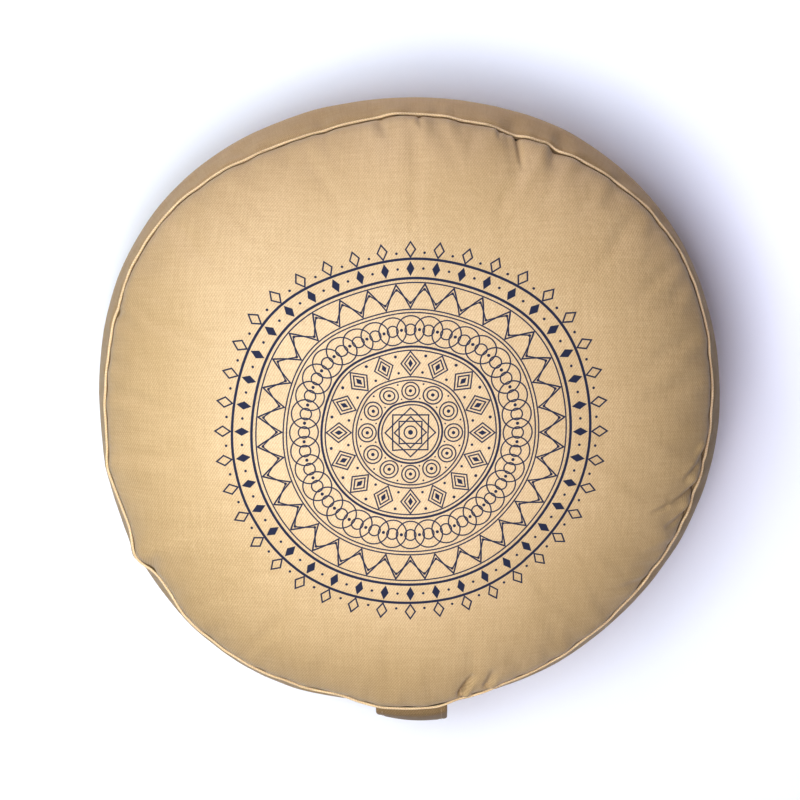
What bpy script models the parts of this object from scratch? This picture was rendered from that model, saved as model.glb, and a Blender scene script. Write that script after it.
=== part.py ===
"""Zafu meditation cushion: a round stuffed cushion with a side band, two piped seams and a strap.

Metres, +Z up. The origin is the middle of the flat round that the cushion rests on. The strap
handle is on the -Y side.
"""

import math

import bpy
from mathutils import Vector

MM = 0.001

# The cushion
SEAM_RADIUS = 166.1 * MM  # mean radius of the top and bottom seams
TOP_SEAM_HEIGHT = 105 * MM
BOTTOM_SEAM_HEIGHT = 16 * MM
CROWN_RISE = 45 * MM  # the middle of the top panel, above its seam
DOME_FLATNESS = 3.2  # a higher power keeps more of the top panel level
DOME_SHOULDER = 0.75  # a lower power makes the panel drop faster to its seam
BAND_BULGE = 9.7 * MM  # how far the side band stands out past the seams
BAND_SAG = 1.12  # over 1, so the band is fullest a little below its middle
BAND_ROUNDNESS = 1.1
FOOT_RADIUS = 120 * MM  # the flat round underneath
FOOT_CURVE = 2.2

# The seams
SEAM_TUCK = 1.8 * MM  # how deep the stitches draw the cloth in
SEAM_TUCK_WIDTH = 4.5 * MM
PIPING_RADIUS = 0.9 * MM
CLEARANCE = 0.3 * MM
POLE_MERGE = 0.05 * MM  # welds the turned form where it meets its axis and itself

# The handle
STRAP_WIDTH = 40 * MM
STRAP_THICKNESS = 2.5 * MM
STRAP_STANDOFF = 10.3 * MM  # how far the strap bows off the band, at its middle
STRAP_ROUNDNESS = 0.9
STRAP_END_GAP = 3.6 * MM  # from a seam to the strap's sewn end
STRAP_EDGE_CURL = 5.5 * MM  # the edge at -X lies closer to the band
STRAP_EDGE_CURL_START = -0.4  # as a share of half the width
STRAP_ANGLE = math.radians(-89)
BAND_PRESS = 5.6 * MM  # the strap holds the band flat behind it
BAND_PRESS_REACH = 42 * MM

# How finely the forms are drawn
COLUMNS = 120
PANEL_RINGS = 11
BAND_RINGS = 11
UNDER_RINGS = 6
STRAP_COLUMNS = 6
STRAP_ROWS = 22

# The seams and the band aren't true rounds: waves round the outline, height in mm, peak in degrees
SEAM_OUTLINE = (
    (1, 0.5, -84),
    (2, 4.0, 16),
    (3, 2.1, 24),
    (4, 1.5, 46),
    (5, 0.6, 7),
    (6, 0.6, 31),
    (7, 0.7, 36),
)
BAND_OUTLINE = (
    (1, 0.3, -90),
    (2, 1.9, 24),
    (3, 1.9, 21),
    (4, 1.3, 51),
    (5, 0.5, -7),
    (6, 0.3, 42),
)

# Where stitches pull a seam inwards, or a minus where it stands out, as over the strap's sewn end:
# angle in degrees, depth in mm, half width in degrees
SEAM_KINKS = (
    (216, 2.6, 4.0),
    (209, -3.2, 3.0),
    (192, -1.5, 3.0),
    (-96, -2.8, 5.0),
    (-87, -5.4, 8.0),
    (-77, 1.0, 3.0),
    (69, 0.8, 3.0),
    (93, -1.6, 5.0),
    (84, -1.0, 4.0),
)

# Puckers of the top panel. Each starts at the seam, at one angle, and ends inside it, at another:
# start and end in degrees, reach from the seam, depth and half width in mm
PUCKERS = (
    (69, 64, 20, 2.4, 6),
    (84, 84, 12, 1.6, 6),
    (95, 94, 9, 1.4, 6),
    (61, 59, 14, 1.5, 7),
    (-9, -13, 9, 1.6, 6),
    (-15, -21, 19, 2.2, 6),
    (-21, -25, 12, 1.8, 6),
    (-32, -36, 14, 1.5, 7),
    (-79, -75, 14, 2.4, 6),
    (213, 210, 12, 1.6, 7),
    (162, 160, 9, 1.2, 6),
)

PUCKER_AT_SEAM = 0.3  # the share of a pucker's depth that the stiff seam itself takes
PUCKER_GROWTH = 3.0  # how soon it reaches its depth inside the seam
PUCKER_PAST_SEAM = 2.0  # how soon it ends on the band's side
KINK_FADE = 6  # a higher power keeps a kink of the seam nearer to the seam

# The stuffing pushes outwards as from inside an egg shape: its middle height and half sizes
HEART_HEIGHT = 55 * MM
HEART_ROUND = 170 * MM
HEART_HALF_HEIGHT = 100 * MM


def clear_scene():
    for old in list(bpy.data.objects):
        bpy.data.objects.remove(old, do_unlink=True)


def cloth_material(name, colour, roughness):
    material = bpy.data.materials.new(name)
    material.use_nodes = True
    shader = material.node_tree.nodes["Principled BSDF"]
    shader.inputs["Base Color"].default_value = (*colour, 1.0)
    shader.inputs["Roughness"].default_value = roughness
    shader.inputs["Metallic"].default_value = 0.0
    material.diffuse_color = (*colour, 1.0)
    return material


# --- the form of the stuffed cloth -------------------------------------------------------------


def band_fullness(height):
    """0 at either seam and 1 where the side band stands out most."""
    drop = (TOP_SEAM_HEIGHT - height) / (TOP_SEAM_HEIGHT - BOTTOM_SEAM_HEIGHT)
    if drop <= 0.0 or drop >= 1.0:
        return 0.0
    return math.sin(math.pi * drop**BAND_SAG) ** BAND_ROUNDNESS


def top_panel_profile():
    """Radius and height from the middle of the top panel out to just short of its seam."""
    points = []
    for ring in range(PANEL_RINGS):
        share = math.sin(0.5 * math.pi * ring / PANEL_RINGS)
        rise = (1.0 - share**DOME_FLATNESS) ** DOME_SHOULDER
        points.append((SEAM_RADIUS * share, TOP_SEAM_HEIGHT + CROWN_RISE * rise))
    return points


def band_profile():
    """Radius and height from the top seam to the bottom seam, with more rings near both."""
    points = []
    for ring in range(BAND_RINGS + 1):
        share = 0.5 - 0.5 * math.cos(math.pi * ring / BAND_RINGS)
        height = TOP_SEAM_HEIGHT + (BOTTOM_SEAM_HEIGHT - TOP_SEAM_HEIGHT) * share
        points.append((SEAM_RADIUS + BAND_BULGE * band_fullness(height), height))
    return points


def under_profile():
    """Radius and height from the bottom seam in to the flat round, and across it to the middle."""
    points = []
    for ring in range(1, UNDER_RINGS + 1):
        share = 1.0 - ring / UNDER_RINGS
        radius = FOOT_RADIUS + (SEAM_RADIUS - FOOT_RADIUS) * share
        points.append((radius, BOTTOM_SEAM_HEIGHT * share**FOOT_CURVE))
    points.append((0.0, 0.0))
    return points


def outline(waves, angle):
    """How far an uneven round lies outside its mean radius at an angle."""
    return sum(
        height * MM * math.cos(count * (angle - math.radians(peak)))
        for count, height, peak in waves
    )


def seam_kinks(angle):
    """How far the stitches pull the seam inwards at an angle."""
    pull = 0.0
    for middle, depth, half_width in SEAM_KINKS:
        turn = math.degrees(angle) - middle
        turn = (turn + 180.0) % 360.0 - 180.0
        pull += depth * MM * math.exp(-((turn / half_width) ** 2))
    return pull


def outward(spot):
    """The direction in which the stuffing pushes the cloth at a point."""
    return Vector(
        (
            spot.x / HEART_ROUND**2,
            spot.y / HEART_ROUND**2,
            (spot.z - HEART_HEIGHT) / HEART_HALF_HEIGHT**2,
        )
    ).normalized()


def pucker_depth(spot):
    """How deep the puckers of the top panel are at a point, which fades past the seam."""
    depth = 0.0
    place = Vector((spot.x, spot.y))
    for start_deg, end_deg, reach, deepest, half_width in PUCKERS:
        start_angle = math.radians(start_deg)
        end_angle = math.radians(end_deg)
        seam = SEAM_RADIUS + outline(SEAM_OUTLINE, start_angle)
        start = Vector((math.cos(start_angle), math.sin(start_angle))) * seam
        end = Vector((math.cos(end_angle), math.sin(end_angle))) * (seam - reach * MM)
        run = end - start
        along = (place - start).dot(run) / run.length_squared
        aside = abs((place - start).cross(run)) / run.length
        if along > 0.0:
            fade = max(0.0, 1.0 - along) * min(1.0, PUCKER_AT_SEAM + PUCKER_GROWTH * along)
        else:
            fade = PUCKER_AT_SEAM * math.exp(-((PUCKER_PAST_SEAM * along) ** 2))
        depth += deepest * MM * fade * math.exp(-((aside / (half_width * MM)) ** 2))
    return depth


def seam_closeness(radius, height):
    """1 on a seam of the turned form, fading over the width that the stitches draw in."""
    nearest = min(
        math.hypot(radius - SEAM_RADIUS, height - TOP_SEAM_HEIGHT),
        math.hypot(radius - SEAM_RADIUS, height - BOTTOM_SEAM_HEIGHT),
    )
    return math.exp(-((nearest / SEAM_TUCK_WIDTH) ** 2))


def settled(radius, height, angle):
    """Where the stuffed cloth lies, for a point of the even turned form."""
    share = min(1.0, radius / SEAM_RADIUS)
    fullness = band_fullness(height) if radius > SEAM_RADIUS else 0.0
    seam_shift = outline(SEAM_OUTLINE, angle) - seam_kinks(angle) * share**KINK_FADE
    band_shift = outline(BAND_OUTLINE, angle)
    placed = radius + share * (seam_shift + (band_shift - seam_shift) * fullness)
    aside = placed * math.sin(angle - STRAP_ANGLE)
    if math.cos(angle - STRAP_ANGLE) > 0.0:
        placed -= BAND_PRESS * fullness * math.exp(-((aside / BAND_PRESS_REACH) ** 2))
    spot = Vector((placed * math.cos(angle), placed * math.sin(angle), height))
    sink = SEAM_TUCK * seam_closeness(radius, height)
    if height > HEART_HEIGHT:
        sink += pucker_depth(spot)
    return spot - outward(spot) * sink


# --- the pieces ----------------------------------------------------------------------------------


def make_cushion(collection):
    """One stuffed body: a turned profile, then each point settled as the cloth lies."""
    profile = top_panel_profile() + band_profile() + under_profile()
    mesh = bpy.data.meshes.new("cushion_profile")
    edges = [(index, index + 1) for index in range(len(profile) - 1)]
    mesh.from_pydata([(radius, 0.0, height) for radius, height in profile], edges, [])
    turned = bpy.data.objects.new("cushion_turned", mesh)
    collection.objects.link(turned)
    screw = turned.modifiers.new("turn", "SCREW")
    screw.axis = "Z"
    screw.steps = COLUMNS
    screw.render_steps = COLUMNS
    screw.use_merge_vertices = True
    screw.merge_threshold = POLE_MERGE
    graph = bpy.context.evaluated_depsgraph_get()
    graph.update()
    body = bpy.data.meshes.new_from_object(turned.evaluated_get(graph))
    bpy.data.objects.remove(turned, do_unlink=True)
    for vertex in body.vertices:
        radius = math.hypot(vertex.co.x, vertex.co.y)
        angle = math.atan2(vertex.co.y, vertex.co.x)
        vertex.co = settled(radius, vertex.co.z, angle)
    body.name = "cushion"
    body.shade_smooth()
    cushion = bpy.data.objects.new("cushion", body)
    collection.objects.link(cushion)
    cushion.data.materials.append(cloth_material("sand twill", (0.68, 0.50, 0.29), 0.9))
    return cushion


def make_piping(collection, name, seam_height):
    """A covered cord that lies in the groove of one seam, all the way round."""
    curve = bpy.data.curves.new(name, "CURVE")
    curve.dimensions = "3D"
    curve.bevel_depth = PIPING_RADIUS
    curve.bevel_resolution = 2
    spline = curve.splines.new("POLY")
    spline.points.add(COLUMNS - 1)
    spline.use_cyclic_u = True
    for column, point in enumerate(spline.points):
        angle = math.tau * column / COLUMNS
        seam = settled(SEAM_RADIUS, seam_height, angle)
        middle = seam + outward(seam) * (PIPING_RADIUS + CLEARANCE)
        point.co = (*middle, 1.0)
    piping = bpy.data.objects.new(name, curve)
    collection.objects.link(piping)
    curve.materials.append(cloth_material("piping twill", (0.78, 0.58, 0.36), 0.85))
    return piping


def strap_point(across, along):
    """The middle of the strap's thickness: across from -1 to 1, along from the top, 0, to 1."""
    top = TOP_SEAM_HEIGHT - STRAP_END_GAP
    bottom = BOTTOM_SEAM_HEIGHT + STRAP_END_GAP
    height = top + (bottom - top) * along
    bow = math.sin(math.pi * along) ** STRAP_ROUNDNESS
    curl = max(0.0, -across - STRAP_EDGE_CURL_START) / (1.0 - STRAP_EDGE_CURL_START)
    stand = (STRAP_STANDOFF - STRAP_EDGE_CURL * curl**2) * bow
    gap = 0.5 * STRAP_THICKNESS + CLEARANCE + stand
    wall_radius = SEAM_RADIUS + BAND_BULGE * band_fullness(height)
    wall = settled(wall_radius, height, STRAP_ANGLE)
    turn = across * 0.5 * STRAP_WIDTH / (math.hypot(wall.x, wall.y) + gap)
    wall = settled(wall_radius, height, STRAP_ANGLE + turn)
    level = Vector((wall.x, wall.y, 0.0)).normalized()
    return wall + level * gap


def make_handle(collection):
    """A flat strap, sewn in at both seams, that bows off the band between them."""
    bpy.ops.mesh.primitive_grid_add(
        x_subdivisions=STRAP_COLUMNS, y_subdivisions=STRAP_ROWS, size=2.0
    )
    handle = bpy.context.object
    handle.name = "handle"
    handle.data.name = "handle"
    for vertex in handle.data.vertices:
        vertex.co = strap_point(vertex.co.x, 0.5 - 0.5 * vertex.co.y)
    for owner in list(handle.users_collection):
        owner.objects.unlink(handle)
    collection.objects.link(handle)
    solidify = handle.modifiers.new("thickness", "SOLIDIFY")
    solidify.thickness = STRAP_THICKNESS
    solidify.offset = 0.0
    solidify.use_even_offset = True
    handle.data.materials.append(cloth_material("strap twill", (0.42, 0.31, 0.20), 0.9))
    return handle


def main():
    clear_scene()
    collection = bpy.data.collections.new("zafu_cushion")
    bpy.context.scene.collection.children.link(collection)
    make_cushion(collection)
    make_piping(collection, "top_piping", TOP_SEAM_HEIGHT)
    make_piping(collection, "bottom_piping", BOTTOM_SEAM_HEIGHT)
    make_handle(collection)


main()
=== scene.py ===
"""Looks of a round zafu meditation cushion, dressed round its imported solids.

Metres, +Z up. The file follows the sewing: the side band, the top panel with its print, the top
piping, the bottom panel with its piping, the strap handle, and then the floor, light and camera.
"""

import math

import bpy
import numpy as np
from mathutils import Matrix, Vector


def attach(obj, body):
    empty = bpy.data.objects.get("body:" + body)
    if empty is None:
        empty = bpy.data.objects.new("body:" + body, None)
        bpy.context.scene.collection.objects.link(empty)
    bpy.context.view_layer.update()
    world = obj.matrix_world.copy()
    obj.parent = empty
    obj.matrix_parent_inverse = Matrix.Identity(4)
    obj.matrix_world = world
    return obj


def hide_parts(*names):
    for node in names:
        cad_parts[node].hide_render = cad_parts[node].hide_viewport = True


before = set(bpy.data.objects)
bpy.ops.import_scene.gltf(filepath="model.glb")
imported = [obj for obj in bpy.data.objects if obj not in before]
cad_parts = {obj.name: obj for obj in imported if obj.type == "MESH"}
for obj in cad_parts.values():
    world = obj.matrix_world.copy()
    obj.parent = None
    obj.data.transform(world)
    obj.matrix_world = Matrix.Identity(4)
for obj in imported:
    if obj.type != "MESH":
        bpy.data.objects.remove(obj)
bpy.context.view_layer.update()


# --- Side band -----------------------------------------------------------------------------------
# One straight strip of sand cotton twill, sewn edge to edge with the two round panels. The hulls
# inside push it out between its seams, and the strap behind which it runs holds it flatter there.
# The seams are a little uneven, as cloth fed round a curve by hand comes out.

MM = 0.001
SEAM_RADIUS = 166.1 * MM  # mean radius of both seams
TOP_SEAM_HEIGHT = 105 * MM
BOTTOM_SEAM_HEIGHT = 16 * MM
BAND_BULGE = 9.5 * MM  # how far the band stands out past the seams
BAND_SAG = 1.12  # over 1, so the band is fullest a little below its middle
BAND_ROUNDNESS = 1.1
SEAM_TUCK = 1.8 * MM  # how deep the stitches draw the cloth in
SEAM_TUCK_WIDTH = 4.5 * MM
SEAM_GROOVE = 1.8 * MM  # a narrower fold in the cloth, right beside the piping
SEAM_GROOVE_WIDTH = 2.0 * MM
SEAM_ALLOWANCE = 8 * MM  # cloth past the stitches, turned in under the piping
ALLOWANCE_STEPS = (1.2 * MM, 4 * MM, SEAM_ALLOWANCE)
ALLOWANCE_SPREAD = 0.4 * MM  # two allowances lie side by side in a seam

# Uneven rounds, as waves round the outline: count, height in mm, peak in degrees
SEAM_OUTLINE = (
    (1, 0.5, -84),
    (2, 4.0, 16),
    (3, 2.1, 24),
    (4, 1.5, 46),
    (5, 0.6, 7),
    (6, 0.6, 31),
    (7, 0.7, 36),
)
BAND_OUTLINE = (
    (1, 0.6, -46),
    (2, 1.9, 24),
    (3, 2.1, 20),
    (4, 1.2, 53),
    (5, 0.5, -7),
    (6, 0.3, 42),
)
SEAM_WOBBLE = ((29, 0.16, 3), (41, 0.14, 5), (67, 0.07, 2))

# Where stitches pull a seam inwards, or with a minus let it stand out:
# angle in degrees, depth in mm, half width in degrees
SEAM_KINKS = (
    (216, 2.6, 4.0),
    (209, -3.2, 3.0),
    (201, 1.2, 4.0),
    (192, -1.5, 3.0),
    (-96, -2.8, 5.0),
    (-87, -5.4, 8.0),
    (-77, -1.4, 3.0),
    (69, 0.8, 3.0),
    (62.3, -1.0, 1.3),
    (59.4, 0.4, 1.6),
    (78, 0.8, 3.0),
    (93, -1.6, 5.0),
    (84, -1.0, 4.0),
)
KINK_FADE = 6  # a higher power keeps a kink nearer to the seam

# Puckers that start at the top seam, at one angle, and run into the top panel to another:
# start and end in degrees, reach from the seam, depth and half width in mm
PUCKERS = (
    (69, 64, 20, 2.4, 6),
    (84, 84, 12, 1.6, 6),
    (95, 94, 9, 1.4, 6),
    (61, 59, 14, 1.5, 7),
    (-9, -13, 9, 1.6, 6),
    (-15, -21, 19, 2.2, 6),
    (-21, -25, 12, 1.8, 6),
    (-32, -36, 14, 1.5, 7),
    (-79, -75, 14, 2.4, 6),
    (213, 210, 12, 1.6, 7),
    (162, 160, 9, 1.2, 6),
)
PUCKER_AT_SEAM = 0.3  # the share of a pucker's depth that the stiff seam takes
PUCKER_GROWTH = 3.0
PUCKER_PAST_SEAM = 2.0

# The stuffing pushes outwards as from inside an egg shape: its middle height and half sizes
HEART_HEIGHT = 55 * MM
HEART_ROUND = 170 * MM
HEART_HALF_HEIGHT = 100 * MM

STRAP_ANGLE = math.radians(-89)  # where the handle is sewn in
BAND_PRESS = 5.6 * MM  # the strap holds the band flat behind it
BAND_PRESS_REACH = 42 * MM

BAND_COLUMNS = 960
BAND_RINGS = 56
TRIAL_COLUMNS = 240  # the cloth simulation runs on a coarser grid than the finished mesh
TRIAL_BAND_RINGS = 26
TRIAL_STEPS = 20
BAND_SWELL = 3 * MM  # the furthest that the stuffing moves the band unevenly
EASED_IN = 0.04  # the share by which the cloth is cut longer than its place in a seam

# Empty edges between pieces of the layout for baking, as shares of a strip
BAKE_EDGE = 0.01
BAKE_GAP = 0.02

# Gathers: the little ripples of cloth eased into a seam, as waves round it, and how far they reach
GATHERS = ((83, 0.13, 11), (97, 0.10, 40), (61, 0.15, 5), (47, 0.12, 23))
GATHER_REACH = 11 * MM

# Cotton twill, piece-dyed sand. A real twill line here is about 0.6 mm wide, which is too fine to
# show from the camera's distance, so the lines are drawn at twice that.
TWILL_PITCH = 1.25 * MM
TWILL_ANGLE = math.radians(57)  # steep, and rising to the right
TWILL_RELIEF = 0.09 * MM
RIB_SETS = ((TWILL_ANGLE, TWILL_PITCH), (TWILL_ANGLE + 1.2, TWILL_PITCH * 1.1))
RIB_WANDER = 2.5  # how many radians of a rib's wave the swells shift it
SWELLS = 90.0  # swells of the cloth in a metre, so 11 mm apart
CRUMPLES = 250.0  # creases of handling, 4 mm apart
CLOUDS = 16.0  # patches where the dye took more or less
YARN_STREAKS = ((900.0, 45.0, 1.0), (45.0, 900.0, 1.0))  # of uneven warp and weft, in a metre
FUZZ_SCALE = (700.0, 2000.0, 1.0)  # short fibre ends, longer along the ribs than across
FUZZ_SPREAD = (0.44, 0.70)
FUZZ_COVER = 0.2

# How much each pattern lightens and darkens the dye, and how high it stands as a multiple of a rib
WEAVE_TONE = 0.8
YARN_TONE = 0.45
CLOUD_TONE = 0.7
TONE_SPREAD = (0.77, 1.77)
YARN_RELIEF = 0.25
CRUMPLE_RELIEF = 2.6
SWELL_RELIEF = 4.0
FUZZ_RELIEF = 1.6

PAINTED_SHADE_REACH = 5.0 * MM  # cloth against cloth, in a seam or a crease, gets painted shade
PAINTED_SHADE_DARKNESS = 0.22
PAINTED_SHADE_SPREAD = (0.15, 0.75)
CLOTH_SHINE = 0.05
HAIRINESS = 0.03
SAND = "#C1A67F"
SAND_SHADE = "#A98E64"
SAND_FLECK = "#D6C29E"


def outline(waves, angle):
    """How far an uneven round lies outside its mean radius."""
    return sum(
        height * MM * np.cos(count * (angle - math.radians(peak)))
        for count, height, peak in waves
    )


def seam_kinks(angle):
    """How far the stitches pull the seam inwards."""
    pull = np.zeros_like(angle)
    for middle, depth, half_width in SEAM_KINKS:
        turn = (np.degrees(angle) - middle + 180.0) % 360.0 - 180.0
        pull = pull + depth * MM * np.exp(-((turn / half_width) ** 2))
    return pull


def band_fullness(height):
    """0 at either seam and 1 where the band stands out most."""
    drop = (TOP_SEAM_HEIGHT - height) / (TOP_SEAM_HEIGHT - BOTTOM_SEAM_HEIGHT)
    return np.sin(np.pi * np.clip(drop, 0.0, 1.0) ** BAND_SAG) ** BAND_ROUNDNESS


def outward(spot):
    """The direction in which the stuffing pushes the cloth at each point."""
    push = np.stack(
        [
            spot[..., 0] / HEART_ROUND**2,
            spot[..., 1] / HEART_ROUND**2,
            (spot[..., 2] - HEART_HEIGHT) / HEART_HALF_HEIGHT**2,
        ],
        axis=-1,
    )
    return push / np.linalg.norm(push, axis=-1, keepdims=True)


def pucker_depth(spot):
    """How deep the puckers are at each point, fading past the top seam."""
    depth = np.zeros(spot.shape[:-1])
    for start_deg, end_deg, reach, deepest, half_width in PUCKERS:
        start_angle = math.radians(start_deg)
        end_angle = math.radians(end_deg)
        seam = SEAM_RADIUS + outline(SEAM_OUTLINE, start_angle)
        start = np.array([math.cos(start_angle), math.sin(start_angle)]) * seam
        end = np.array([math.cos(end_angle), math.sin(end_angle)]) * (seam - reach * MM)
        run = end - start
        away = spot[..., :2] - start
        along = away @ run / (run @ run)
        aside = (away[..., 0] * run[1] - away[..., 1] * run[0]) / math.hypot(*run)
        inside = np.maximum(0.0, 1.0 - along)
        inside = inside * np.minimum(1.0, PUCKER_AT_SEAM + PUCKER_GROWTH * along)
        past = PUCKER_AT_SEAM * np.exp(-((PUCKER_PAST_SEAM * along) ** 2))
        fade = np.where(along > 0.0, inside, past)
        depth += deepest * MM * fade * np.exp(-((aside / (half_width * MM)) ** 2))
    return np.where(spot[..., 2] > HEART_HEIGHT, depth, 0.0)


def seam_distance(radius, height):
    """How far a point of the even turned form is from the nearer seam."""
    return np.minimum(
        np.hypot(radius - SEAM_RADIUS, height - TOP_SEAM_HEIGHT),
        np.hypot(radius - SEAM_RADIUS, height - BOTTOM_SEAM_HEIGHT),
    )


def settled(radius, height, angle, groove=SEAM_GROOVE):
    """Where the stuffed cloth lies, for each point of the even turned form."""
    radius, height, angle = np.broadcast_arrays(radius, height, angle)
    share = np.minimum(1.0, radius / SEAM_RADIUS)
    fullness = np.where(radius > SEAM_RADIUS, band_fullness(height), 0.0)
    seam_shift = outline(SEAM_OUTLINE, angle) - seam_kinks(angle) * share**KINK_FADE
    seam_shift = seam_shift + outline(SEAM_WOBBLE, angle) * share ** (3 * KINK_FADE)
    band_shift = outline(BAND_OUTLINE, angle)
    placed = radius + share * (seam_shift + (band_shift - seam_shift) * fullness)
    aside = placed * np.sin(angle - STRAP_ANGLE)
    press = BAND_PRESS * fullness * np.exp(-((aside / BAND_PRESS_REACH) ** 2))
    placed = placed - np.where(np.cos(angle - STRAP_ANGLE) > 0.0, press, 0.0)
    spot = np.stack([placed * np.cos(angle), placed * np.sin(angle), height], axis=-1)
    away = seam_distance(radius, height)
    sink = SEAM_TUCK * np.exp(-((away / SEAM_TUCK_WIDTH) ** 2)) + pucker_depth(spot)
    beside = np.exp(-((away / SEAM_GROOVE_WIDTH) ** 2))
    eased = outline(GATHERS, angle) * np.exp(-away / GATHER_REACH) * (1.0 - beside)
    sink = sink + groove * beside + eased
    return spot - outward(spot) * sink[..., None]


def turned_in(seam, spread):
    """Rings of the seam allowance, which runs from a seam straight into the cushion."""
    inwards = -outward(seam)
    lift = np.array([0.0, 0.0, spread])
    return [seam + inwards * step + lift for step in ALLOWANCE_STEPS]


def pushed_out(points, held, taut, cap):
    """How far the stuffing moves each point of a panel, by cloth simulation of a coarse grid.

    points is rings by columns. held is 1 where stitches or the floor hold the cloth, and taut is
    0 where most cloth was eased in. The form already has each ring's mean push, so only what is
    uneven round a ring is given back, and no point moves further than cap.
    """
    rings, columns = points.shape[:2]
    spots = np.arange(rings * columns).reshape(rings, columns)
    beside = np.roll(spots, -1, axis=1)
    corners = [spots[:-1], spots[1:], beside[1:], beside[:-1]]
    mesh = bpy.data.meshes.new("stuffing_trial")
    faces = np.stack(corners, axis=-1).reshape(-1, 4)
    mesh.from_pydata(points.reshape(-1, 3).tolist(), [], faces.tolist())
    trial = bpy.data.objects.new("stuffing_trial", mesh)
    scene = bpy.context.scene
    scene.collection.objects.link(trial)
    for name, weights in (("held", held), ("taut", taut)):
        group = trial.vertex_groups.new(name=name)
        for spot, weight in enumerate(np.broadcast_to(weights, (rings, columns)).ravel()):
            group.add([spot], float(weight), "REPLACE")
    stuffing = trial.modifiers.new("stuffing", "CLOTH")
    cloth = stuffing.settings
    cloth.quality = 6
    cloth.mass = 0.1
    cloth.tension_stiffness = 25.0
    cloth.compression_stiffness = 25.0
    cloth.shear_stiffness = 6.0
    cloth.bending_stiffness = 0.6
    cloth.use_pressure = True
    cloth.uniform_pressure_force = 60.0
    cloth.vertex_group_mass = "held"
    cloth.vertex_group_shrink = "taut"
    cloth.shrink_min = -EASED_IN
    cloth.shrink_max = 0.0
    cloth.effector_weights.gravity = 0.0
    stuffing.point_cache.frame_start = 1
    stuffing.point_cache.frame_end = TRIAL_STEPS
    for step in range(1, TRIAL_STEPS + 1):
        scene.frame_set(step)
    graph = bpy.context.evaluated_depsgraph_get()
    stuffed = trial.evaluated_get(graph).to_mesh()
    places = np.empty(rings * columns * 3, dtype=np.float32)
    stuffed.vertices.foreach_get("co", places)
    bpy.data.objects.remove(trial, do_unlink=True)
    scene.frame_set(1)
    push = outward(points)
    moves = ((places.reshape(points.shape) - points) * push).sum(axis=-1)
    moves = moves - moves.mean(axis=1, keepdims=True)
    return np.clip(moves, -cap, cap)[..., None] * push


def between(moves, ring, angle):
    """Moves of the coarse grid at finer places, smoothly: ring counts its rings."""
    rings, columns = moves.shape[:2]
    column = angle / math.tau * columns
    found = np.zeros(np.broadcast_shapes(ring.shape, column.shape) + (3,))
    ring_floor = np.floor(ring).astype(int)
    column_floor = np.floor(column).astype(int)
    for down in range(4):
        for over in range(4):
            share = spline_share(ring - ring_floor, down)
            share = share * spline_share(column - column_floor, over)
            row = np.clip(ring_floor + down - 1, 0, rings - 1)
            found += moves[row, (column_floor + over - 1) % columns] * share[..., None]
    return found


def spline_share(part, which):
    """The share of one of the four nearest rows in a smooth in-between value."""
    if which == 0:
        return (1.0 - part) ** 3 / 6.0
    if which == 1:
        return (3.0 * part**3 - 6.0 * part**2 + 4.0) / 6.0
    if which == 2:
        return (-3.0 * part**3 + 3.0 * part**2 + 3.0 * part + 1.0) / 6.0
    return part**3 / 6.0


def cloth_piece(name, rings, flat, strips=0, closed=False, capped=(), inside_out=False):
    """A smooth cloth mesh from rings of points, each with as many columns as the last or twice.

    flat holds each point's place on the flat cut cloth, with one more column than the ring, and
    one more ring where the last meets the first, which is closed. capped names the rings that one
    face fills. For baking, the cloth is laid out as it was cut, or in strips below each other.
    """
    starts = np.cumsum([0] + [len(ring) for ring in rings])
    reach = 2.0 * (1.0 + BAKE_GAP) * max(np.abs(places).max() for places in flat)
    spans = len(rings) if closed else len(rings) - 1
    faces, places = [], []
    for ring in range(spans):
        columns = len(rings[ring])
        below = (ring + 1) % len(rings)
        ratio = len(rings[below]) // columns
        square = [((0, 0), (1, 0), (1, 1), (0, 1))]
        fan = [((0, 0), (1, 0), (1, 1)), ((0, 0), (1, 1), (0, 1)), ((0, 1), (1, 1), (1, 2))]
        for column in range(columns):
            for shape in square if ratio == 1 else fan:
                spots = [(down, (ratio if down else 1) * column + over) for down, over in shape]
                face = []
                for down, over in reversed(spots) if inside_out else spots:
                    row = below if down else ring
                    face.append(starts[row] + over % len(rings[row]))
                    places.append((ring + down, over, column * strips // columns))
                faces.append(face)
    for ring in capped:
        columns = range(len(rings[ring]))
        order = columns if (ring == 0) != inside_out else reversed(columns)
        faces.append([starts[ring] + column for column in order])
        places += [(ring, corner - starts[ring], 0) for corner in faces[-1]]
    flat_corners = [flat[ring][column] for ring, column, strip in places]
    bake_corners = []
    for (ring, column, strip), place in zip(places, flat_corners):
        if strips:
            across = column / len(rings[ring % len(rings)]) * strips - strip
            down = (strip + BAKE_GAP + (1.0 - 2.0 * BAKE_GAP) * ring / spans) / strips
            bake_corners.append((BAKE_EDGE + (1.0 - 2.0 * BAKE_EDGE) * across, down))
        else:
            bake_corners.append(place / reach + 0.5)
    mesh = bpy.data.meshes.new(name)
    mesh.from_pydata(np.concatenate(rings).tolist(), [], faces)
    for layer, corners in (("cloth", flat_corners), ("OFBake", bake_corners)):
        layout = mesh.uv_layers.new(name=layer)
        layout.data.foreach_set("uv", np.array(corners, dtype=np.float32).ravel())
    mesh.shade_smooth()
    piece = bpy.data.objects.new(name, mesh)
    bpy.context.scene.collection.objects.link(piece)
    return piece


def linear(hex_colour):
    """A linear colour from an sRGB hex one."""
    parts = [int(hex_colour[place : place + 2], 16) / 255.0 for place in (1, 3, 5)]
    bent = [part / 12.92 if part <= 0.04045 else ((part + 0.055) / 1.055) ** 2.4 for part in parts]
    return (*bent, 1.0)


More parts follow.
